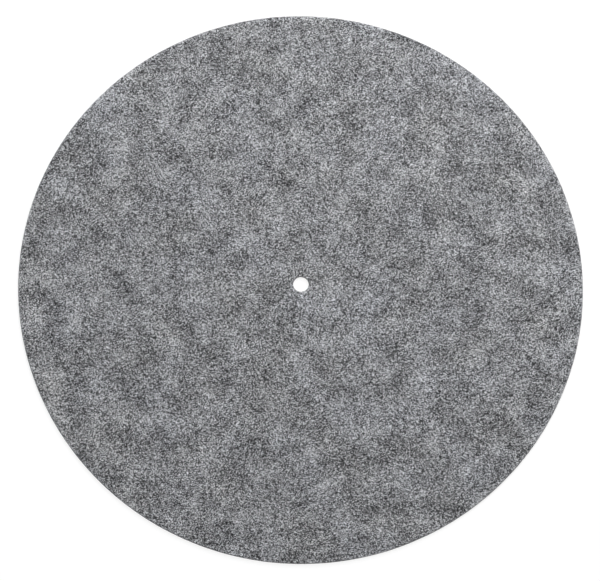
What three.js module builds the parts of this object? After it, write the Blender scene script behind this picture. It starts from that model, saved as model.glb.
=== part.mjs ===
// A round felt mat for the platter of a record player.
//
// The mat is one flat disc, stamped out of a sheet of grey pressed felt, with a hole in
// the middle that drops over the platter's spindle. It has no other parts.
//
// Sizes are in millimetres. The mat lies flat on z = 0 with its axis along +Z, and the
// origin is the middle of its underside, on the spindle's axis.

import * as THREE from "three";

// The disc. A 300 mm platter has a raised lip or a bevelled rim, and the mat stops short of it.
const matDiameter = 295;
const feltThickness = 2;

// The hole follows the spindle, so that the mat centres itself but lifts off freely.
const spindleDiameter = 7.2;
const spindleClearance = 1; // on the diameter
const holeDiameter = spindleDiameter + spindleClearance;

// The cutting die goes in from the top. It draws the top arris down into a soft round
// and leaves the bottom arris nearly sharp.
const dieRollRadius = 0.5;
const cutArrisRadius = 0.3;

// How finely the round shapes are drawn.
const stepsRound = 128;
const stepsPerEighthTurn = 2;

const feltColour = 0x838486;
const feltRoughness = 0.95;

// The section of the felt on one side of the axis, from the hole's wall to the rim:
// x is the distance from the axis and y is the height.
function feltSection() {
  const holeWall = holeDiameter / 2;
  const rim = matDiameter / 2;
  const quarter = Math.PI / 2;

  const section = new THREE.Path();
  const arris = (x, y, radius, from) =>
    section.absarc(x, y, radius, from, from + quarter, false);

  arris(rim - cutArrisRadius, cutArrisRadius, cutArrisRadius, -quarter);
  arris(rim - dieRollRadius, feltThickness - dieRollRadius, dieRollRadius, 0);
  arris(holeWall + dieRollRadius, feltThickness - dieRollRadius, dieRollRadius, quarter);
  arris(holeWall + cutArrisRadius, cutArrisRadius, cutArrisRadius, 2 * quarter);
  section.closePath();
  return section.getPoints(stepsPerEighthTurn);
}

function feltMat() {
  const disc = new THREE.LatheGeometry(feltSection(), stepsRound);
  disc.rotateX(Math.PI / 2); // the lathe turns about Y, and the mat's axis is Z

  const felt = new THREE.MeshStandardMaterial({
    color: feltColour,
    roughness: feltRoughness,
    metalness: 0,
  });
  const mesh = new THREE.Mesh(disc, felt);
  mesh.name = "felt_mat";
  return mesh;
}

const turntableMat = new THREE.Group();
turntableMat.name = "turntable_mat";
turntableMat.add(feltMat());

export default turntableMat;
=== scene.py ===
# Dresses the felt turntable mat: the die-cut felt with its marled grey colour, the loose
# fibres on its faces and edges, and the white studio that it is pictured in.

import math

import bpy
from mathutils import Matrix, Vector


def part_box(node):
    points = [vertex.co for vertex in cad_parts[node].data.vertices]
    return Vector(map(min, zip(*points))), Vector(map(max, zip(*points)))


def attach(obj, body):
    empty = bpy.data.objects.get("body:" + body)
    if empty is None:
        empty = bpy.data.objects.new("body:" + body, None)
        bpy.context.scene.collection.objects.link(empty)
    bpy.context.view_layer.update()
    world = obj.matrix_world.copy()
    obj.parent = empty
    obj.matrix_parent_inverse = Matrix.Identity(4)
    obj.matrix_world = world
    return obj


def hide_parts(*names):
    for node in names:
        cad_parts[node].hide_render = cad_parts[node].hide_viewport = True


bl_info = {
    "name": "Felt Turntable Mat",
    "version": (1, 0, 0),
    "blender": (4, 5, 0),
    "location": "3D View > Sidebar > Felt Mat",
    "description": "Makes a marled grey felt turntable mat and the studio that it is pictured in",
    "category": "Add Mesh",
}

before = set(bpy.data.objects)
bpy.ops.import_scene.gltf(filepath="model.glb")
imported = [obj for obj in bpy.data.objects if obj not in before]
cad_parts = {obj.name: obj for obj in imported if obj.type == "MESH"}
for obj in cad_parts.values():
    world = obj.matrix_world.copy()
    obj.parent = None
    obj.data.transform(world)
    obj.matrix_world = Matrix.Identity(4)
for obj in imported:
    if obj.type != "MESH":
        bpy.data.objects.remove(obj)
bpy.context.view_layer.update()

MM = 0.001
QUARTER_TURN = math.pi / 2
BAKE_MAP = "OFBake"

# What a setting is measured in.
LENGTH = {"unit": "LENGTH", "subtype": "DISTANCE"}
ANGLE = {"unit": "ROTATION", "subtype": "ANGLE"}
SHARE = {"min": 0, "max": 1, "subtype": "FACTOR"}

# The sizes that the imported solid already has.
felt_low, felt_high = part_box("felt_mat")
felt_points = [v.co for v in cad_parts["felt_mat"].data.vertices]
felt_hole_radius = min(math.hypot(p.x, p.y) for p in felt_points)

# Rings of the felt's net that make up its edges. The rest of the rings make up the flat.
WALL_RINGS = 2
ARRIS_RINGS = 4
HOLE_RING = 8

# On the net's diagonals the two ways are as far, and this slack picks the way along X.
DIAGONAL_SLACK = 0.001

# The two faces of the felt are drawn on its map as two discs in opposite corners, as large as
# this gap between them allows. Each face stops short of its disc by the edge.
MAP_GAP = 0.008
MAP_DISC = (math.sqrt(2) - MAP_GAP) / (2 + 2 * math.sqrt(2))
MAP_EDGE = 0.002

# The two faces are joined where their points are nearer than this.
JOIN_DISTANCE = 0.005 * MM

# The lumps of the pressed surface: broad ones, and closer ones that are this share as high.
# The underside is sunk by a share of their height, so that it stays above the platter.
BROAD_LUMP = 9 * MM
CLOSE_LUMP = 3.2 * MM
CLOSE_LUMP_SHARE = 0.6
UNDERSIDE_SINK = 0.5

# The directions in which the fibres in the surface lie, in degrees clockwise from the X axis,
# and how the draws of their layers differ.
STROKE_TURNS = (12, 65, 118, 145, 165)
STROKE_SEED = 3.0
STROKE_SEED_STEP = 11.3

# Where the wools stand on the way from the darkest to the palest.
WOOL_SHADES = (0.0, 0.3, 0.5, 0.7, 1.0)

# Where the felt is bluer it is also less red, by this share.
RED_TO_BLUE = 0.3

# The relief of the fibres and the specks, which is too fine for the mesh.
FIBRE_RELIEF = 0.5
GRAIN_RELIEF = 0.4
RELIEF_STRENGTH = 0.6
RELIEF_HEIGHT = 0.25 * MM

# How wool takes the light. The loose fibres are a little smoother than the felt.
FELT_ROUGHNESS = 0.95
FIBRE_ROUGHNESS = 0.85
WOOL_SPECULAR = 0.25
WOOL_SHEEN = 0.15
WOOL_SHEEN_ROUGHNESS = 0.5

# A strand is a three-sided spindle with two rings of points between its tips. On its map a
# strand is a narrow strip, and it is paler at the tips than in the middle.
STRAND_POINTS = 4
STRAND_SIDES = 3
STRAND_HALF = 0.5
NEAR_TIP = 0.49
TIP_JOIN = 0.001
STRAND_MAP_WIDTH = 0.01
TIP_PALENESS = 0.3
MIDDLE_DARKNESS = 0.08

# The strands on the faces keep this far from the cuts, and are bent sideways by up to half
# the sway. The thinnest are a share of the full width, and all are flatter than wide.
CUT_MARGIN = 0.5 * MM
SWAY = 1.6 * MM
SWAY_LENGTH = 3.5 * MM
THINNEST_SHARE = 0.4
FLATNESS = 0.5

# The strands in the cut edges are rooted this deep and this far from the faces, and swing up to
# this far from straight out. The thinnest are a share of the full width.
ROOT_DEPTH = 0.05 * MM
ROOT_MARGIN = 0.25 * MM
FUZZ_SWING = math.radians(69)
FUZZ_THINNEST_SHARE = 0.5

# The draws of strands are this far apart, and the edge comes after the shades.
SEED_STEP = 1000
EDGE_DRAW = 5

# The white floor: its half width, how much light it gives back to the mat, and how it shows
# to the camera, as its own glow and the part of its white that a shadow can darken.
FLOOR_HALF = 4.0
FLOOR_WHITE = 0.8
FLOOR_GLOW = 0.86
FLOOR_SHADED = 0.2

# The picture in pixels, where the middle of the mat's top falls in it, and how far the camera
# sees, in metres.
PICTURE_SIZE = (600, 581)
MAT_MIDDLE = (300.98, 284.02)
CAMERA_REACH = 50


class FeltSheetSizes(bpy.types.PropertyGroup):
    """The die-cut felt"""

    diameter: bpy.props.FloatProperty(
        name="Diameter",
        description="Across the mat",
        default=felt_high.x - felt_low.x,
        **LENGTH,
    )
    hole_diameter: bpy.props.FloatProperty(
        name="Hole",
        description="Across the spindle hole",
        default=2 * felt_hole_radius,
        **LENGTH,
    )
    thickness: bpy.props.FloatProperty(
        name="Thickness",
        description="Of the felt",
        default=felt_high.z,
        **LENGTH,
    )
    top_arris: bpy.props.FloatProperty(
        name="Top arris",
        description="Radius of the soft edge that the cutting die draws down",
        default=0.5 * MM,
        **LENGTH,
    )
    bottom_arris: bpy.props.FloatProperty(
        name="Bottom arris",
        description="Radius of the sharper lower edge",
        default=0.3 * MM,
        **LENGTH,
    )
    lump_height: bpy.props.FloatProperty(
        name="Lump height",
        description="How far the pressed surface rises and sinks",
        default=0.16 * MM,
        **LENGTH,
    )
    rings: bpy.props.IntProperty(
        name="Rings",
        description="Rings of faces from the middle to the rim",
        default=110,
        min=40,
    )


class FeltColours(bpy.types.PropertyGroup):
    """The greys that the felt's wool was blended from, darkest first"""

    charcoal: bpy.props.FloatVectorProperty(
        name="Charcoal",
        description="The darkest wool",
        subtype="COLOR",
        default=(0.012, 0.012, 0.013),
    )
    slate: bpy.props.FloatVectorProperty(
        name="Slate",
        description="Dark wool",
        subtype="COLOR",
        default=(0.094, 0.097, 0.102),
    )
    ash: bpy.props.FloatVectorProperty(
        name="Ash",
        description="The grey that the felt has on average",
        subtype="COLOR",
        default=(0.221, 0.227, 0.237),
    )
    dove: bpy.props.FloatVectorProperty(
        name="Dove",
        description="Pale wool",
        subtype="COLOR",
        default=(0.407, 0.415, 0.432),
    )
    silver: bpy.props.FloatVectorProperty(
        name="Silver",
        description="The palest wool",
        subtype="COLOR",
        default=(0.795, 0.810, 0.844),
    )


class MarlSizes(bpy.types.PropertyGroup):
    """The marl of the felt. Each contrast is a share of the way from the darkest wool to the palest"""

    middle: bpy.props.FloatProperty(
        name="Middle",
        description="The shade that the felt has on average",
        default=0.385,
        **SHARE,
    )
    stroke_length: bpy.props.FloatProperty(
        name="Fibre length",
        description="Of the fibres that lie straight in the surface",
        default=1.5 * MM,
        **LENGTH,
    )
    stroke_width: bpy.props.FloatProperty(
        name="Fibre width",
        description="Of the fibres in the surface, which lie in small bundles",
        default=0.14 * MM,
        **LENGTH,
    )
    stroke_contrast: bpy.props.FloatProperty(
        name="Fibre contrast",
        description="Between one fibre and the next",
        default=1.0,
        min=0,
    )
    bend: bpy.props.FloatProperty(
        name="Bend",
        description="How far the fibres wander from a straight line",
        default=4 * MM,
        **LENGTH,
    )
    bend_length: bpy.props.FloatProperty(
        name="Bend length",
        description="Over what length the fibres wander",
        default=5 * MM,
        **LENGTH,
    )
    grain_size: bpy.props.FloatProperty(
        name="Grain size",
        description="Of the finest specks, which are the ends of fibres",
        default=0.42 * MM,
        **LENGTH,
    )
    grain_stretch: bpy.props.FloatProperty(
        name="Grain stretch",
        description="How much longer than wide the specks are",
        default=1.3,
        min=1,
    )
    grain_thinness: bpy.props.FloatProperty(
        name="Grain thinness",
        description="The height of the specks as a share of their width, as they lie flat in layers",
        default=0.4,
        min=0.1,
        max=1,
    )
    lie: bpy.props.FloatProperty(
        name="Lie",
        description="The direction in which the wool was carded, from the X axis",
        default=math.radians(20),
        **ANGLE,
    )
    grain_contrast: bpy.props.FloatProperty(
        name="Grain contrast",
        description="Between one speck and the next",
        default=2.8,
        min=0,
    )
    tuft_size: bpy.props.FloatProperty(
        name="Tuft size",
        description="Of the tufts of one wool that were not blended in",
        default=2.6 * MM,
        **LENGTH,
    )
    tuft_stretch: bpy.props.FloatProperty(
        name="Tuft stretch",
        description="How far the tufts are drawn out along the lie of the wool",
        default=1.7,
        min=1,
    )
    tuft_contrast: bpy.props.FloatProperty(
        name="Tuft contrast",
        description="Between one tuft and the next",
        default=0.33,
        min=0,
    )
    cloud_size: bpy.props.FloatProperty(
        name="Cloud size",
        description="Of the pale and dark clouds",
        default=12 * MM,
        **LENGTH,
    )
    cloud_contrast: bpy.props.FloatProperty(
        name="Cloud contrast",
        description="Between one cloud and the next",
        default=0.8,
        min=0,
    )
    tint_size: bpy.props.FloatProperty(
        name="Tint size",
        description="Of the stretches that are a little bluer or warmer",
        default=26 * MM,
        **LENGTH,
    )
    tint_contrast: bpy.props.FloatProperty(
        name="Tint contrast",
        description="Share of blue that comes and goes",
        default=0.08,
        min=0,
    )
    # The band next to the cuts is painted paler: partly loosened felt, partly painted light, a painted
    # highlight on the loose fibres and painted light on the shaded cut wall.
    edge_width: bpy.props.FloatProperty(
        name="Edge width",
        description="How far in from the cuts the felt is loosened",
        default=3 * MM,
        **LENGTH,
    )
    rim_light_lift: bpy.props.FloatProperty(
        name="Edge lift",
        description="How much paler the loosened felt is at the cuts",
        default=0.1,
        min=0,
    )


class LooseFibreSizes(bpy.types.PropertyGroup):
    """The loose fibres"""

    count: bpy.props.IntProperty(
        name="Strands of each shade",
        description="How many strands of one shade lie on the two faces",
        default=15600,
        min=0,
    )
    top_share: bpy.props.FloatProperty(
        name="Share on top",
        description="The share of the strands that lie on the upper face",
        default=0.75,
        **SHARE,
    )
    shortest: bpy.props.FloatProperty(
        name="Shortest",
        description="Length of the shortest strands",
        default=1.4 * MM,
        **LENGTH,
    )
    longest: bpy.props.FloatProperty(
        name="Longest",
        description="Length of the longest strands",
        default=4.6 * MM,
        **LENGTH,
    )
    width: bpy.props.FloatProperty(
        name="Width",
        description="Width of a thick strand",
        default=0.28 * MM,
        **LENGTH,
    )
    fuzz_count: bpy.props.IntProperty(
        name="Edge strands",
        description="How many short strands stand out of the cut edges",
        default=9000,
        min=0,
    )
    fuzz_shortest: bpy.props.FloatProperty(
        name="Shortest at the edge",
        description="Length of the shortest strands in the cut edges",
        default=0.4 * MM,
        **LENGTH,
    )
    fuzz_longest: bpy.props.FloatProperty(
        name="Longest at the edge",
        description="Length of the longest strands in the cut edges",
        default=1.1 * MM,
        **LENGTH,
    )
    fuzz_width: bpy.props.FloatProperty(
        name="Width at the edge",
        description="Width of a thick strand in the cut edges",
        default=0.07 * MM,
        **LENGTH,
    )
    fuzz_steepest: bpy.props.FloatProperty(
        name="Steepest at the edge",
        description="How far a strand in the cut edges may tip up or down",
        default=math.radians(40),
        **ANGLE,
    )
    steepest: bpy.props.FloatProperty(
        name="Steepest",
        description="How far a lying strand may tip out of the face",
        default=math.radians(3),
        **ANGLE,
    )
    seed: bpy.props.IntProperty(
        name="Seed",
        description="Picks another draw of the strands",
        default=7,
    )


class StudioValues(bpy.types.PropertyGroup):
    """The light and the camera"""

    sky_level: bpy.props.FloatProperty(
        name="Sky level",
        description="Share of the light that comes evenly from all round",
        default=0.4,
        min=0,
    )
    lamp_level: bpy.props.FloatProperty(
        name="Lamp level",
        description="Share of the light that the lamp gives at the middle of the mat",
        default=0.6,
        min=0,
    )
    lamp_place: bpy.props.FloatVectorProperty(
        name="Lamp place",
        description="Behind and to the right of the mat, so the far side is the brightest",
        default=(0.18, 0.60, 0.66),
        unit="LENGTH",
        subtype="TRANSLATION",
    )
    lamp_width: bpy.props.FloatProperty(
        name="Lamp width",
        description="Across the square lamp",
        default=0.6,
        **LENGTH,
    )
    camera_elevation: bpy.props.FloatProperty(
        name="Camera elevation",
        description="Of the camera above the mat's plane",
        default=math.radians(75.62),
        **ANGLE,
    )
    camera_roll: bpy.props.FloatProperty(
        name="Camera roll",
        description="How far the camera is turned about its own axis",
        default=math.radians(4.35),
        **ANGLE,
    )
    camera_distance: bpy.props.FloatProperty(
        name="Camera distance",
        description="From the middle of the mat",
        default=1.7315,
        **LENGTH,
    )
    focal_length: bpy.props.FloatProperty(
        name="Focal length",
        description="In millimetres, on a sensor 36 mm wide",
        default=198.9,
    )


class Wire:
    """A node's output, for use in formulas. Each sum or product adds a Math node to the tree."""

    def __init__(self, tree, socket):
        self.tree = tree
        self.socket = socket

    def __add__(self, other):
        return calc(self.tree, "ADD", self, other)

    __radd__ = __add__

    def __sub__(self, other):
        return calc(self.tree, "SUBTRACT", self, other)

    def __rsub__(self, other):
        return calc(self.tree, "SUBTRACT", other, self)

    def __mul__(self, other):
        return calc(self.tree, "MULTIPLY", self, other)

    __rmul__ = __mul__

    def __truediv__(self, other):
        return calc(self.tree, "DIVIDE", self, other)

    def __rtruediv__(self, other):
        return calc(self.tree, "DIVIDE", other, self)


def feed(tree, socket, value):
    """Links a wire to an input socket, or sets the socket to a plain value."""
    if isinstance(value, Wire):
        tree.links.new(value.socket, socket)
    else:
        socket.default_value = value


def put(tree, kind, inputs=None, **settings):
    """Adds a node with these settings and feeds its inputs, given by name or number."""
    node = tree.nodes.new(kind)
    for name, value in settings.items():
        setattr(node, name, value)
    for key, value in (inputs or {}).items():
        feed(tree, node.inputs[key], value)
    return node


def out(tree, node, key=0):
    """An output of a node as a wire."""
    return Wire(tree, node.outputs[key])


def calc(tree, operation, *values):
    """The result of a Math node."""
    return out(tree, put(tree, "ShaderNodeMath", dict(enumerate(values)), operation=operation))


def clamped(tree, value):
    """A value held between 0 and 1."""
    return out(tree, put(tree, "ShaderNodeClamp", {"Value": value}))


def vector_calc(tree, operation, *values):
    """The vector result of a Vector Math node."""
    return out(tree, put(tree, "ShaderNodeVectorMath", dict(enumerate(values)), operation=operation))


def scaled(tree, vector, factor):
    """A vector times a number."""
    return out(tree, put(tree, "ShaderNodeVectorMath", {0: vector, "Scale": factor}, operation="SCALE"))


def combined(tree, x, y, z):
    """A vector from its three parts."""
    return out(tree, put(tree, "ShaderNodeCombineXYZ", {0: x, 1: y, 2: z}))


def parted(tree, vector):
    """The three parts of a vector."""
    node = put(tree, "ShaderNodeSeparateXYZ", {0: vector})
    return [out(tree, node, k) for k in range(3)]


def picked(tree, test, if_false, if_true):
    """One of two numbers, by a test, in a geometry tree."""
    node = put(tree, "GeometryNodeSwitch", {0: test, 1: if_false, 2: if_true}, input_type="FLOAT")
    return out(tree, node)


def noise(tree, place, size, detail=1.0, output="Fac"):
    """Smooth noise from 0 to 1, with lumps of this size, or smaller too where there is detail."""
    inputs = {"Vector": place, "Scale": 1 / size, "Detail": detail, "Roughness": 0.5}
    return out(tree, put(tree, "ShaderNodeTexNoise", inputs), output)


def ripple(tree, place, size, detail=1.0):
    """The same noise, from -0.5 to 0.5."""
    return noise(tree, place, size, detail) - 0.5


def sockets(kind, *labels):
    """Sockets of one kind, for a node group."""
    return [(label, "NodeSocket" + kind) for label in labels]


def new_group(name, kind, inputs, outputs):
    """A node group with these sockets. Returns its tree, its inputs by name and its output node."""
    tree = bpy.data.node_groups.new(name, kind)
    for label, socket_kind in inputs:
        tree.interface.new_socket(label, in_out="INPUT", socket_type=socket_kind)
    for label, socket_kind in outputs:
        tree.interface.new_socket(label, in_out="OUTPUT", socket_type=socket_kind)
    given = tree.nodes.new("NodeGroupInput")
    wires = {label: out(tree, given, label) for label, _ in inputs}
    return tree, wires, tree.nodes.new("NodeGroupOutput")


def use_group(tree, group, inputs):
    """Places a group in a tree and feeds its inputs."""
    kind = "GeometryNodeGroup" if tree.type == "GEOMETRY" else "ShaderNodeGroup"
    node = tree.nodes.new(kind)
    node.node_tree = group
    for key, value in inputs.items():
        feed(tree, node.inputs[key], value)
    return node


def grown(name, tree, values):
    """The plain mesh piece that a geometry tree makes from these named inputs."""
    piece = bpy.data.objects.new(name, bpy.data.meshes.new(name))
    bpy.context.scene.collection.objects.link(piece)
    modifier = piece.modifiers.new(name, "NODES")
    modifier.node_group = tree
    for socket in tree.interface.items_tree:
        if socket.in_out == "INPUT" and socket.name in values:
            modifier[socket.identifier] = values[socket.name]
    graph = bpy.context.evaluated_depsgraph_get()
    mesh = bpy.data.meshes.new_from_object(
        piece.evaluated_get(graph), preserve_all_data_layers=True, depsgraph=graph
    )
    piece.modifiers.clear()
    mesh.materials.pop(index=0)  # the empty slot that Set Material puts before its own
    piece.data = mesh
    mesh.name = name
    return piece


def position(tree):
    """Where each point of the geometry is."""
    return out(tree, put(tree, "GeometryNodeInputPosition"))


def moved(tree, geometry, **where):
    """Geometry whose points are set to a Position or moved by an Offset."""
    return out(tree, put(tree, "GeometryNodeSetPosition", {"Geometry": geometry, **where}))


def on_map(tree, geometry, spot):
    """Geometry with this spot of each corner on the map."""
    inputs = {"Geometry": geometry, "Name": BAKE_MAP, "Value": spot}
    kind = "GeometryNodeStoreNamedAttribute"
    return out(tree, put(tree, kind, inputs, data_type="FLOAT2", domain="CORNER"))


def end_tree(tree, given, result, geometry):
    """The end of a piece's tree: smooth shading, real geometry and its material."""
    smooth = out(tree, put(tree, "GeometryNodeSetShadeSmooth", {"Geometry": geometry}))
    real = out(tree, put(tree, "GeometryNodeRealizeInstances", {"Geometry": smooth}))
    inputs = {"Geometry": real, "Material": given["Material"]}
    painted = out(tree, put(tree, "GeometryNodeSetMaterial", inputs))
    feed(tree, result.inputs["Geometry"], painted)


def relief_group():
    """The lie of the pressed surface: how far it rises at a place, in metres."""
    tree, given, result = new_group(
        "Felt Relief",
        "GeometryNodeTree",
        [*sockets("Vector", "Place"), *sockets("Float", "Lump Height")],
        sockets("Float", "Rise"),
    )
    broad = ripple(tree, given["Place"], BROAD_LUMP)
    close = ripple(tree, given["Place"], CLOSE_LUMP)
    rise = broad + close * CLOSE_LUMP_SHARE
    feed(tree, result.inputs["Rise"], rise * given["Lump Height"])
    return tree


def face_group():
    """One face of the felt with half of its cut edges, as rings of faces round the hole.

    The net is a square one whose square rings are pushed out to circles, so that its faces
    are of much the same size from the hole to the rim.
    """
    tree, given, result = new_group(
        "Felt Face",
        "GeometryNodeTree",
        [
            *sockets("Int", "Rings"),
            *sockets("Float", "Outer Radius", "Hole Radius", "Seam Height", "Face Height"),
            *sockets("Float", "Arris Radius", "Map Scale"),
            *sockets("Vector", "Map Centre"),
        ],
        sockets("Geometry", "Geometry"),
    )
    rings = given["Rings"]
    arris = given["Arris Radius"]
    seam = given["Seam Height"]
    face = given["Face Height"]

    # The square net, one unit to a face, less the squares over the hole.
    across = 2 * rings
    net = put(
        tree,
        "GeometryNodeMeshGrid",
        {"Size X": across, "Size Y": across, "Vertices X": across + 1, "Vertices Y": across + 1},
    )
    x, y, _ = parted(tree, position(tree))
    far_x = calc(tree, "ABSOLUTE", x)
    far_y = calc(tree, "ABSOLUTE", y)
    ring = calc(tree, "MAXIMUM", far_x, far_y)
    over_hole = calc(tree, "LESS_THAN", ring, HOLE_RING - 0.5)
    open_net = put(
        tree,
        "GeometryNodeDeleteGeometry",
        {"Geometry": out(tree, net), "Selection": over_hole},
        domain="POINT",
    )

    # The direction of each point of a square ring, at even steps round the circle.
    beside = calc(tree, "GREATER_THAN", far_x + DIAGONAL_SLACK, far_y)
    eighth_turn = math.pi / 4
    angle = picked(tree, beside, QUARTER_TURN - x / y * eighth_turn, y / x * eighth_turn)
    way = calc(tree, "SIGN", picked(tree, beside, y, x))
    along_x = calc(tree, "COSINE", angle) * way
    along_y = calc(tree, "SINE", angle) * way

    # Up the cut wall, round the arris and over the flat, from whichever edge is nearer.
    from_rim = rings - ring
    from_hole = ring - HOLE_RING
    nearer = calc(tree, "MINIMUM", from_rim, from_hole)
    at_rim = calc(tree, "LESS_THAN", from_rim, from_hole)
    up_wall = clamped(tree, nearer / WALL_RINGS)
    turn = clamped(tree, (nearer - WALL_RINGS) / ARRIS_RINGS) * QUARTER_TURN
    edge_rings = WALL_RINGS + ARRIS_RINGS
    flat_width = given["Outer Radius"] - given["Hole Radius"] - 2 * arris
    flat_step = flat_width / (rings - HOLE_RING - 2 * edge_rings)
    over_flat = calc(tree, "MAXIMUM", nearer - edge_rings, 0.0) * flat_step
    inset = arris * (1 - calc(tree, "COSINE", turn)) + over_flat
    radius = picked(tree, at_rim, given["Hole Radius"] + inset, given["Outer Radius"] - inset)
    side = calc(tree, "SIGN", face - seam)
    wall_top = face - side * arris
    height = seam + (wall_top - seam) * up_wall + side * arris * calc(tree, "SINE", turn)
    rounded = combined(tree, along_x * radius, along_y * radius, height)
    placed = moved(tree, out(tree, open_net), Position=rounded)

    # The same rings laid out flat on the map, with the wall folded open.
    wall_left = calc(tree, "ABSOLUTE", wall_top - seam) * (1 - up_wall)
    folded = wall_left + arris * (QUARTER_TURN - turn)
    map_radius = picked(
        tree,
        at_rim,
        given["Hole Radius"] + arris + over_flat - folded,
        given["Outer Radius"] - arris - over_flat + folded,
    )
    from_centre = scaled(
        tree, combined(tree, along_x * side, along_y, 0.0), map_radius * given["Map Scale"]
    )
    spot = vector_calc(tree, "ADD", from_centre, given["Map Centre"])
    feed(tree, result.inputs["Geometry"], on_map(tree, placed, spot))
    return tree


def sheet_tree(face, relief):
    """The whole felt: an upper and a lower face joined along the middle of their cut edges."""
    tree, given, result = new_group(
        "Felt Mat",
        "GeometryNodeTree",
        [
            *sockets("Float", "Diameter", "Hole Diameter", "Thickness", "Lump Height"),
            *sockets("Float", "Top Arris", "Bottom Arris"),
            *sockets("Int", "Rings"),
            *sockets("Material", "Material"),
        ],
        sockets("Geometry", "Geometry"),
    )
    outer = given["Diameter"] * 0.5
    seam = given["Thickness"] * 0.5
    map_scale = (MAP_DISC - MAP_EDGE) / (outer + given["Thickness"] * 0.5)
    shared = {
        "Rings": given["Rings"],
        "Outer Radius": outer,
        "Hole Radius": given["Hole Diameter"] * 0.5,
        "Seam Height": seam,
        "Map Scale": map_scale,
    }

    def half(height, arris, centre):
        """The face at this height, with the half of the cut edges next to it."""
        own = {"Face Height": height, "Arris Radius": arris, "Map Centre": (centre, centre, 0)}
        return use_group(tree, face, {**shared, **own})

    top = half(given["Thickness"], given["Top Arris"], MAP_DISC)
    bottom = half(0.0, given["Bottom Arris"], 1 - MAP_DISC)
    turned = put(tree, "GeometryNodeFlipFaces", {"Mesh": out(tree, bottom)})
    both = put(tree, "GeometryNodeJoinGeometry")
    tree.links.new(turned.outputs[0], both.inputs[0])
    tree.links.new(top.outputs[0], both.inputs[0])
    inputs = {"Geometry": out(tree, both), "Distance": JOIN_DISTANCE}
    closed = put(tree, "GeometryNodeMergeByDistance", inputs)

    # The lumps rise from the top and stay inside the underside, which lies on the platter.
    place = position(tree)
    normal = out(tree, put(tree, "GeometryNodeInputNormal"))
    rise = out(tree, use_group(tree, relief, {"Place": place, "Lump Height": given["Lump Height"]}))
    _, _, up = parted(tree, normal)
    underneath = clamped(tree, up * -1.0)
    x, y, height = parted(tree, place)
    sunk = rise - underneath * given["Lump Height"] * UNDERSIDE_SINK
    lumpy = moved(tree, out(tree, closed), Offset=scaled(tree, normal, sunk))
    above_floor = calc(tree, "MAXIMUM", height, 0.0)
    rested = moved(tree, lumpy, Position=combined(tree, x, y, above_floor))
    end_tree(tree, given, result, rested)
    return tree


def stroke_group():
    """Short straight fibres that all run one way. Each has one shade and lies at one height."""
    tree, given, result = new_group(
        "Fibre Strokes",
        "ShaderNodeTree",
        [*sockets("Vector", "Place"), *sockets("Float", "Turn", "Length", "Width", "Seed")],
        sockets("Float", "Shade", "Height"),
    )
    turned = put(
        tree,
        "ShaderNodeVectorRotate",
        {"Vector": given["Place"], "Angle": given["Turn"]},
        rotation_type="Z_AXIS",
    )
    x, y, z = parted(tree, out(tree, turned))
    drawn = combined(
        tree,
        x / given["Length"] + given["Seed"],
        y / given["Width"],
        z / given["Width"] + given["Seed"],
    )
    cells = put(tree, "ShaderNodeTexVoronoi", {"Vector": drawn, "Scale": 1.0})
    shade, height, _ = parted(tree, out(tree, cells, "Color"))
    feed(tree, result.inputs["Shade"], shade)
    feed(tree, result.inputs["Height"], height)
    return tree


def crossed(tree, place, turns, length, width):
    """Fibres in several directions, of which the highest shows: its shade and its height."""
    strokes = stroke_group()
    shade, height = None, None
    for k, turn in enumerate(turns):
        inputs = {
            "Place": place,
            "Turn": math.radians(turn),
            "Length": length,
            "Width": width,
            "Seed": STROKE_SEED + STROKE_SEED_STEP * k,
        }
        layer = use_group(tree, strokes, inputs)
        layer_shade = out(tree, layer, "Shade")
        layer_height = out(tree, layer, "Height")
        if k == 0:
            shade, height = layer_shade, layer_height
            continue
        above = calc(tree, "GREATER_THAN", layer_height, height)
        shade = shade + above * (layer_shade - shade)
        height = calc(tree, "MAXIMUM", height, layer_height)
    return shade, height


def principled(material, roughness):
    """The material's own Principled shader, set up as wool."""
    tree = material.node_tree
    shader = tree.nodes["Principled BSDF"]
    shader.inputs["Roughness"].default_value = roughness
    shader.inputs["Specular IOR Level"].default_value = WOOL_SPECULAR
    shader.inputs["Sheen Weight"].default_value = WOOL_SHEEN
    shader.inputs["Sheen Roughness"].default_value = WOOL_SHEEN_ROUGHNESS
    return shader


def new_material(name):
    """A node material, which starts with a plain Principled shader."""
    material = bpy.data.materials.new(name)
    material.use_nodes = True
    return material


def ramp(tree, shade, stops):
    """A colour ramp through (position, colour) stops."""
    node = put(tree, "ShaderNodeValToRGB", {"Fac": shade})
    points = node.color_ramp.elements
    while len(points) < len(stops):
        points.new(1.0)
    for point, (position, colour) in zip(points, stops):
        point.position = position
        point.color = (*colour, 1.0)
    return out(tree, node)


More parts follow.
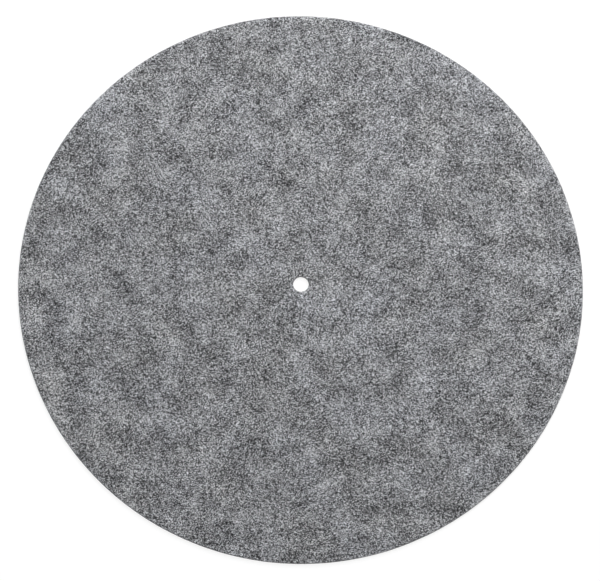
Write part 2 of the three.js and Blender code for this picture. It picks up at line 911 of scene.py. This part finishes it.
def felt_material(sheet, colours, marl):
    """Marled pressed felt: crossing dark and pale fibres over soft clouds of grey."""
    material = new_material("marled_felt")
    tree = material.node_tree
    shader = principled(material, FELT_ROUGHNESS)

    place = out(tree, put(tree, "ShaderNodeTexCoord"), "Object")
    bends = noise(tree, place, marl.bend_length, output="Color")
    bent = vector_calc(tree, "MULTIPLY_ADD", bends, (marl.bend,) * 3, place)
    carded = put(
        tree,
        "ShaderNodeMapping",
        {
            "Vector": place,
            "Location": (0, 0, sheet.thickness + marl.grain_size * marl.grain_thinness / 2),
            "Rotation": (0, 0, marl.lie),
            "Scale": (marl.grain_stretch, 1, marl.grain_thinness),
        },
        vector_type="TEXTURE",
    )
    combed = put(
        tree,
        "ShaderNodeMapping",
        {"Vector": bent, "Rotation": (0, 0, marl.lie), "Scale": (marl.tuft_stretch, 1, 1)},
        vector_type="TEXTURE",
    )

    shown, height = crossed(tree, bent, STROKE_TURNS, marl.stroke_length, marl.stroke_width)
    grain = ripple(tree, out(tree, carded), marl.grain_size, detail=0.0)
    tufts = ripple(tree, out(tree, combed), marl.tuft_size)
    clouds = ripple(tree, place, marl.cloud_size)

    # Next to its two cuts the felt is painted paler. This is partly felt that the die loosened and
    # partly painted light: a painted highlight where loose fibres catch the light, and painted light
    # that lifts the cut wall out of its shade.
    x, y, _ = parted(tree, place)
    from_axis = calc(tree, "SQRT", x * x + y * y)
    from_cut = calc(
        tree, "MINIMUM", sheet.diameter / 2 - from_axis, from_axis - sheet.hole_diameter / 2
    )
    painted_rim_light = clamped(tree, 1.0 - from_cut / marl.edge_width)

    shade = marl.middle + (shown - 0.5) * marl.stroke_contrast + grain * marl.grain_contrast
    shade = shade + tufts * marl.tuft_contrast + clouds * marl.cloud_contrast
    # Painted light: a painted highlight next to the cuts, and painted light on the shaded cut walls.
    shade = shade + painted_rim_light * painted_rim_light * marl.rim_light_lift
    wools = (colours.charcoal, colours.slate, colours.ash, colours.dove, colours.silver)
    grey = ramp(tree, shade, list(zip(WOOL_SHADES, wools)))
    drift = ripple(tree, place, marl.tint_size) * marl.tint_contrast
    tint = combined(tree, 1.0 - drift * RED_TO_BLUE, 1.0, 1.0 + drift)
    feed(tree, shader.inputs["Base Color"], vector_calc(tree, "MULTIPLY", grey, tint))

    raised = height * FIBRE_RELIEF + grain * GRAIN_RELIEF
    inputs = {"Strength": RELIEF_STRENGTH, "Distance": RELIEF_HEIGHT, "Height": raised}
    feed(tree, shader.inputs["Normal"], out(tree, put(tree, "ShaderNodeBump", inputs)))
    return material


def strand_shade_group():
    """The shade of a strand at a spot on its map: across the map its own, and up it to its tip."""
    tree, given, result = new_group(
        "Strand Shade",
        "ShaderNodeTree",
        [*sockets("Vector", "Map Spot"), *sockets("Float", "Tip Paleness", "Middle Darkness")],
        sockets("Float", "Shade"),
    )
    own_shade, along, _ = parted(tree, given["Map Spot"])
    from_middle = calc(tree, "ABSOLUTE", along - 0.5)
    shade = own_shade + from_middle * given["Tip Paleness"] - given["Middle Darkness"]
    feed(tree, result.inputs["Shade"], shade)
    return tree


def fibre_material(name, strand_shade, dark, pale):
    """Loose wool, whose strands have shades from dark to pale."""
    material = new_material(name)
    tree = material.node_tree
    shader = principled(material, FIBRE_ROUGHNESS)
    spot = out(tree, put(tree, "ShaderNodeUVMap", uv_map=BAKE_MAP))
    inputs = {"Map Spot": spot, "Tip Paleness": TIP_PALENESS, "Middle Darkness": MIDDLE_DARKNESS}
    shade = out(tree, use_group(tree, strand_shade, inputs))
    feed(tree, shader.inputs["Base Color"], ramp(tree, shade, [(0.0, dark), (1.0, pale)]))
    return material


def strand_group():
    """One strand along X, a unit long and a unit thick, closed to a point at both ends."""
    tree, _, result = new_group("Strand", "GeometryNodeTree", [], sockets("Geometry", "Geometry"))
    ends = {"Start": (-STRAND_HALF, 0, 0), "End": (STRAND_HALF, 0, 0)}
    line = put(tree, "GeometryNodeCurvePrimitiveLine", ends)
    points = put(tree, "GeometryNodeResampleCurve", {"Curve": out(tree, line), "Count": STRAND_POINTS})
    reach, _, _ = parted(tree, position(tree))
    thickness = calc(tree, "GREATER_THAN", NEAR_TIP, calc(tree, "ABSOLUTE", reach))
    sides = {"Resolution": STRAND_SIDES, "Radius": STRAND_HALF}
    section = put(tree, "GeometryNodeCurvePrimitiveCircle", sides)
    tube = put(
        tree,
        "GeometryNodeCurveToMesh",
        {"Curve": out(tree, points), "Profile Curve": out(tree, section), "Scale": thickness},
    )
    closed = put(
        tree, "GeometryNodeMergeByDistance", {"Geometry": out(tree, tube), "Distance": TIP_JOIN}
    )
    x, y, _ = parted(tree, position(tree))
    spot = combined(tree, (y + STRAND_HALF) * STRAND_MAP_WIDTH, x + STRAND_HALF, 0.0)
    feed(tree, result.inputs["Geometry"], on_map(tree, out(tree, closed), spot))
    return tree


class Draw:
    """Random numbers for a geometry tree. Each one has a salt of its own, so all differ."""

    def __init__(self, tree, seed):
        self.tree = tree
        self.seed = seed
        self.salt = 0

    def between(self, low, high):
        """A number between these two, for each point."""
        self.salt += 1
        node = put(
            self.tree,
            "FunctionNodeRandomValue",
            {2: low, 3: high, "Seed": self.seed + self.salt},
            data_type="FLOAT",
        )
        return out(self.tree, node, 1)


def strand_points(tree, given, draw, radius, angle, height, yaw, pitch, size, strand):
    """Strands at points given by radius, angle and height, each with a random shade."""
    x = radius * calc(tree, "COSINE", angle)
    y = radius * calc(tree, "SINE", angle)
    spots = {"Count": given["Count"], "Position": combined(tree, x, y, height)}
    points = put(tree, "GeometryNodePoints", spots)
    turn = put(tree, "FunctionNodeEulerToRotation", {"Euler": combined(tree, 0.0, pitch, yaw)})
    strands = put(
        tree,
        "GeometryNodeInstanceOnPoints",
        {
            "Points": out(tree, points),
            "Instance": out(tree, use_group(tree, strand, {})),
            "Rotation": out(tree, turn),
            "Scale": size,
        },
    )
    shade = draw.between(0.0, 1.0 - STRAND_MAP_WIDTH)
    shaded = put(
        tree,
        "GeometryNodeStoreNamedAttribute",
        {"Geometry": out(tree, strands), "Name": "shade", "Value": shade},
        data_type="FLOAT",
        domain="INSTANCE",
    )
    return out(tree, put(tree, "GeometryNodeRealizeInstances", {"Geometry": out(tree, shaded)}))


def finished_strands(tree, given, result, strands):
    """Gives the strands their place on the map by shade, and their material."""
    kind = "GeometryNodeInputNamedAttribute"
    shade = out(tree, put(tree, kind, {"Name": "shade"}, data_type="FLOAT"))
    own = out(tree, put(tree, kind, {"Name": BAKE_MAP}, data_type="FLOAT_VECTOR"))
    spot = vector_calc(tree, "ADD", own, combined(tree, shade, 0.0, 0.0))
    mapped = on_map(tree, strands, spot)
    bare = put(tree, "GeometryNodeRemoveAttribute", {"Geometry": mapped, "Name": "shade"})
    end_tree(tree, given, result, out(tree, bare))


def fibre_tree(name):
    """A geometry tree with the inputs that the lying strands and the edge's share."""
    inputs = [
        *sockets("Int", "Count", "Seed"),
        *sockets("Float", "Diameter", "Hole Diameter", "Thickness", "Lump Height"),
        *sockets("Float", "Shortest", "Longest", "Width", "Steepest", "Top Share"),
        *sockets("Material", "Material"),
    ]
    return new_group(name, "GeometryNodeTree", inputs, sockets("Geometry", "Geometry"))


def lying_tree(strand, relief):
    """Strands that lie on the two faces, bent sideways, each partly sunk in the felt."""
    tree, given, result = fibre_tree("Lying Fibres")
    draw = Draw(tree, given["Seed"])
    outer = given["Diameter"] * 0.5 - CUT_MARGIN
    inner = given["Hole Diameter"] * 0.5 + CUT_MARGIN
    radius = calc(tree, "SQRT", draw.between(inner * inner, outer * outer))
    angle = draw.between(0.0, 2 * math.pi)

    # A strand near an edge is as short as the cut has left it.
    room = calc(tree, "MINIMUM", outer - radius, radius - inner) * 2.0 + CUT_MARGIN
    length = calc(tree, "MINIMUM", draw.between(given["Shortest"], given["Longest"]), room)
    width = given["Width"] * draw.between(THINNEST_SHARE, 1.0)
    size = combined(tree, length, width, width * FLATNESS)
    yaw = draw.between(0.0, 2 * math.pi)
    pitch = draw.between(given["Steepest"] * -1.0, given["Steepest"])
    on_top = calc(tree, "LESS_THAN", draw.between(0.0, 1.0), given["Top Share"])
    face = picked(tree, on_top, 0.0, given["Thickness"])
    strands = strand_points(tree, given, draw, radius, angle, face, yaw, pitch, size, strand)

    # Bent sideways, a long strand more often than a short one, then laid on the lumps of its face.
    place = position(tree)
    sway = noise(tree, place, SWAY_LENGTH, output="Color")
    swing = vector_calc(tree, "SUBTRACT", sway, (0.5, 0.5, 0.5))
    sideways = vector_calc(tree, "MULTIPLY", swing, (SWAY, SWAY, 0))
    swayed = moved(tree, strands, Offset=sideways)
    x, y, z = parted(tree, place)
    upper = calc(tree, "GREATER_THAN", z, given["Thickness"] * 0.5)
    level = picked(tree, upper, 0.0, given["Thickness"])
    side = picked(tree, upper, -1.0, 1.0)
    spot = combined(tree, x, y, level)
    rise = out(tree, use_group(tree, relief, {"Place": spot, "Lump Height": given["Lump Height"]}))
    sink = picked(tree, upper, given["Lump Height"] * UNDERSIDE_SINK, 0.0)
    height = z + side * (rise - sink)
    above_floor = calc(tree, "MAXIMUM", height, 0.0)
    laid = moved(tree, swayed, Position=combined(tree, x, y, above_floor))
    finished_strands(tree, given, result, laid)
    return tree


def edge_tree(strand):
    """Short strands that stand out of the cut wall of the rim and of the hole."""
    tree, given, result = fibre_tree("Edge Fuzz")
    draw = Draw(tree, given["Seed"])
    rim = given["Diameter"] * 0.5
    hole = given["Hole Diameter"] * 0.5
    at_rim = calc(tree, "LESS_THAN", draw.between(0.0, 1.0), rim / (rim + hole))
    angle = draw.between(0.0, 2 * math.pi)
    height = draw.between(ROOT_MARGIN, given["Thickness"] - ROOT_MARGIN)
    length = draw.between(given["Shortest"], given["Longest"])
    radius = picked(tree, at_rim, hole + ROOT_DEPTH, rim - ROOT_DEPTH)
    yaw = angle + draw.between(-FUZZ_SWING, FUZZ_SWING)
    pitch = draw.between(given["Steepest"] * -1.0, given["Steepest"])
    width = given["Width"] * draw.between(FUZZ_THINNEST_SHARE, 1.0)
    size = combined(tree, length, width, width)
    strands = strand_points(tree, given, draw, radius, angle, height, yaw, pitch, size, strand)
    x, y, z = parted(tree, position(tree))
    above_floor = calc(tree, "MAXIMUM", z, 0.0)
    rested = moved(tree, strands, Position=combined(tree, x, y, above_floor))
    finished_strands(tree, given, result, rested)
    return tree


def on_felt(piece):
    """Ties a piece to the felt's body."""
    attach(piece, "root")


def shared_sizes(scene):
    """The inputs that every tree takes from the felt sheet's sizes."""
    sheet = scene.felt_sheet
    return {
        "Diameter": sheet.diameter,
        "Hole Diameter": sheet.hole_diameter,
        "Thickness": sheet.thickness,
        "Lump Height": sheet.lump_height,
    }


class FELTMAT_OT_sheet(bpy.types.Operator):
    """Makes the die-cut felt with its hole"""

    bl_idname = "feltmat.sheet"
    bl_label = "Felt Sheet"

    def execute(self, context):
        sheet = context.scene.felt_sheet
        values = {
            **shared_sizes(context.scene),
            "Top Arris": sheet.top_arris,
            "Bottom Arris": sheet.bottom_arris,
            "Rings": sheet.rings,
            "Material": felt_material(sheet, context.scene.felt_colours, context.scene.felt_marl),
        }
        mat = grown("felt_sheet", sheet_tree(face_group(), relief_group()), values)
        on_felt(mat)
        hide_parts("felt_mat")
        return {"FINISHED"}


class FELTMAT_OT_lying_fibres(bpy.types.Operator):
    """Lays loose fibres of three shades on the faces of the felt"""

    bl_idname = "feltmat.lying_fibres"
    bl_label = "Lying Fibres"

    def execute(self, context):
        sizes = context.scene.loose_fibres
        colours = context.scene.felt_colours
        tree = lying_tree(strand_group(), bpy.data.node_groups["Felt Relief"])
        strand_shade = strand_shade_group()
        shades = {
            "charcoal_fibres": (colours.charcoal, colours.slate),
            "ash_fibres": (colours.slate, colours.dove),
            "silver_fibres": (colours.dove, colours.silver),
        }
        for k, (name, (dark, pale)) in enumerate(shades.items()):
            values = {
                **shared_sizes(context.scene),
                "Count": sizes.count,
                "Seed": sizes.seed + SEED_STEP * k,
                "Shortest": sizes.shortest,
                "Longest": sizes.longest,
                "Width": sizes.width,
                "Steepest": sizes.steepest,
                "Top Share": sizes.top_share,
                "Material": fibre_material(name, strand_shade, dark, pale),
            }
            on_felt(grown(name, tree, values))
        return {"FINISHED"}


class FELTMAT_OT_edge_fuzz(bpy.types.Operator):
    """Sets short fibres in the cut edges of the rim and the hole"""

    bl_idname = "feltmat.edge_fuzz"
    bl_label = "Edge Fuzz"

    def execute(self, context):
        sizes = context.scene.loose_fibres
        colours = context.scene.felt_colours
        strand_shade = bpy.data.node_groups["Strand Shade"]
        values = {
            **shared_sizes(context.scene),
            "Count": sizes.fuzz_count,
            "Seed": sizes.seed + SEED_STEP * EDGE_DRAW,
            "Shortest": sizes.fuzz_shortest,
            "Longest": sizes.fuzz_longest,
            "Width": sizes.fuzz_width,
            "Steepest": sizes.fuzz_steepest,
            "Material": fibre_material("edge_fuzz", strand_shade, colours.slate, colours.dove),
        }
        on_felt(grown("edge_fuzz", edge_tree(bpy.data.node_groups["Strand"]), values))
        return {"FINISHED"}


def lamp(name, place, target, level, width):
    """A square soft lamp that adds this level of light to a flat surface at its target."""
    data = bpy.data.lights.new(name, "AREA")
    data.shape = "SQUARE"
    data.size = width
    back = Vector(place) - Vector(target)
    facing = back.normalized().z
    data.energy = level * math.pi**2 * back.length_squared / facing
    light = bpy.data.objects.new(name, data)
    light.matrix_world = Matrix.Translation(place) @ back.to_track_quat("Z", "Y").to_matrix().to_4x4()
    light.visible_camera = False
    bpy.context.scene.collection.objects.link(light)


def seen_directly(tree):
    """1 for what the camera sees, straight or in a mirror or glass, and 0 for light that bounces."""
    path = put(tree, "ShaderNodeLightPath")
    straight = out(tree, path, "Is Camera Ray")
    mirrored = out(tree, path, "Is Glossy Ray")
    through = out(tree, path, "Is Transmission Ray")
    return clamped(tree, straight + mirrored + through)


class FELTMAT_OT_studio(bpy.types.Operator):
    """Makes the white floor, the light and the camera"""

    bl_idname = "feltmat.studio"
    bl_label = "Studio"

    def execute(self, context):
        values = context.scene.felt_studio
        middle = Vector((0, 0, context.scene.felt_sheet.thickness))
        self.make_floor()
        self.make_sky(values.sky_level)
        lamp("softbox", values.lamp_place, middle, values.lamp_level, values.lamp_width)
        self.make_camera(values, middle)
        context.scene.view_settings.view_transform = "Standard"
        return {"FINISHED"}

    def make_floor(self):
        mesh = bpy.data.meshes.new("floor")
        corners = [(x * FLOOR_HALF, y * FLOOR_HALF, 0) for x, y in ((-1, -1), (1, -1), (1, 1), (-1, 1))]
        mesh.from_pydata(corners, [], [(0, 1, 2, 3)])
        floor = bpy.data.objects.new("floor", mesh)
        bpy.context.scene.collection.objects.link(floor)
        material = new_material("white_floor")
        tree = material.node_tree
        tree.nodes.remove(tree.nodes["Principled BSDF"])
        paper = put(tree, "ShaderNodeBsdfDiffuse", {"Color": (*(FLOOR_WHITE,) * 3, 1)})
        shaded = put(tree, "ShaderNodeBsdfDiffuse", {"Color": (*(FLOOR_SHADED,) * 3, 1)})
        glow = put(tree, "ShaderNodeEmission", {"Strength": FLOOR_GLOW})
        bright = put(tree, "ShaderNodeAddShader", {0: out(tree, shaded), 1: out(tree, glow)})
        mixed = put(
            tree,
            "ShaderNodeMixShader",
            {0: seen_directly(tree), 1: out(tree, paper), 2: out(tree, bright)},
        )
        feed(tree, tree.nodes["Material Output"].inputs["Surface"], out(tree, mixed))
        mesh.materials.append(material)

    def make_sky(self, level):
        world = bpy.data.worlds.new("white_room")
        world.use_nodes = True
        tree = world.node_tree
        background = tree.nodes["Background"]
        background.inputs["Color"].default_value = (1, 1, 1, 1)
        strength = level + seen_directly(tree) * (1.0 - level)
        feed(tree, background.inputs["Strength"], strength)
        bpy.context.scene.world = world

    def make_camera(self, values, middle):
        data = bpy.data.cameras.new("camera")
        data.lens = values.focal_length
        data.clip_end = CAMERA_REACH
        width, height = PICTURE_SIZE
        pixel = data.sensor_width / data.lens / width
        to_side = (MAT_MIDDLE[0] - width / 2) * pixel
        to_top = (height / 2 - MAT_MIDDLE[1]) * pixel

        rise = values.camera_elevation
        back = Vector((0, -math.cos(rise), math.sin(rise)))
        facing = back.to_track_quat("Z", "Y").to_matrix().to_4x4()
        rolled = Matrix.Rotation(values.camera_roll, 4, "Z")
        aim = Vector((to_side, to_top, -1)).rotation_difference(Vector((0, 0, -1)))
        camera = bpy.data.objects.new("camera", data)
        place = Matrix.Translation(middle + back * values.camera_distance)
        camera.matrix_world = place @ facing @ rolled @ aim.to_matrix().to_4x4()
        bpy.context.scene.collection.objects.link(camera)
        bpy.context.scene.camera = camera


class FELTMAT_PT_panel(bpy.types.Panel):
    """Lists the steps and their sizes"""

    bl_label = "Felt Mat"
    bl_idname = "FELTMAT_PT_panel"
    bl_space_type = "VIEW_3D"
    bl_region_type = "UI"
    bl_category = "Felt Mat"

    def draw(self, context):
        for operator in OPERATORS:
            self.layout.operator(operator.bl_idname)
        for name, (_, label) in SETTINGS.items():
            group = getattr(context.scene, name)
            box = self.layout.box()
            box.label(text=label)
            for key in group.bl_rna.properties.keys():
                if key not in ("rna_type", "name"):
                    box.prop(group, key)


OPERATORS = [
    FELTMAT_OT_sheet,
    FELTMAT_OT_lying_fibres,
    FELTMAT_OT_edge_fuzz,
    FELTMAT_OT_studio,
]
SETTINGS = {
    "felt_sheet": (FeltSheetSizes, "Sheet"),
    "felt_colours": (FeltColours, "Colours"),
    "felt_marl": (MarlSizes, "Marl"),
    "loose_fibres": (LooseFibreSizes, "Fibres"),
    "felt_studio": (StudioValues, "Studio"),
}


def register():
    for name, (group, _) in SETTINGS.items():
        bpy.utils.register_class(group)
        setattr(bpy.types.Scene, name, bpy.props.PointerProperty(type=group))
    for operator in OPERATORS:
        bpy.utils.register_class(operator)
    bpy.utils.register_class(FELTMAT_PT_panel)


def unregister():
    bpy.utils.unregister_class(FELTMAT_PT_panel)
    for operator in reversed(OPERATORS):
        bpy.utils.unregister_class(operator)
    for name, (group, _) in SETTINGS.items():
        delattr(bpy.types.Scene, name)
        bpy.utils.unregister_class(group)


def main():
    register()
    bpy.ops.feltmat.studio()
    bpy.ops.feltmat.sheet()
    bpy.ops.feltmat.lying_fibres()
    bpy.ops.feltmat.edge_fuzz()


if __name__ == "__main__":
    main()
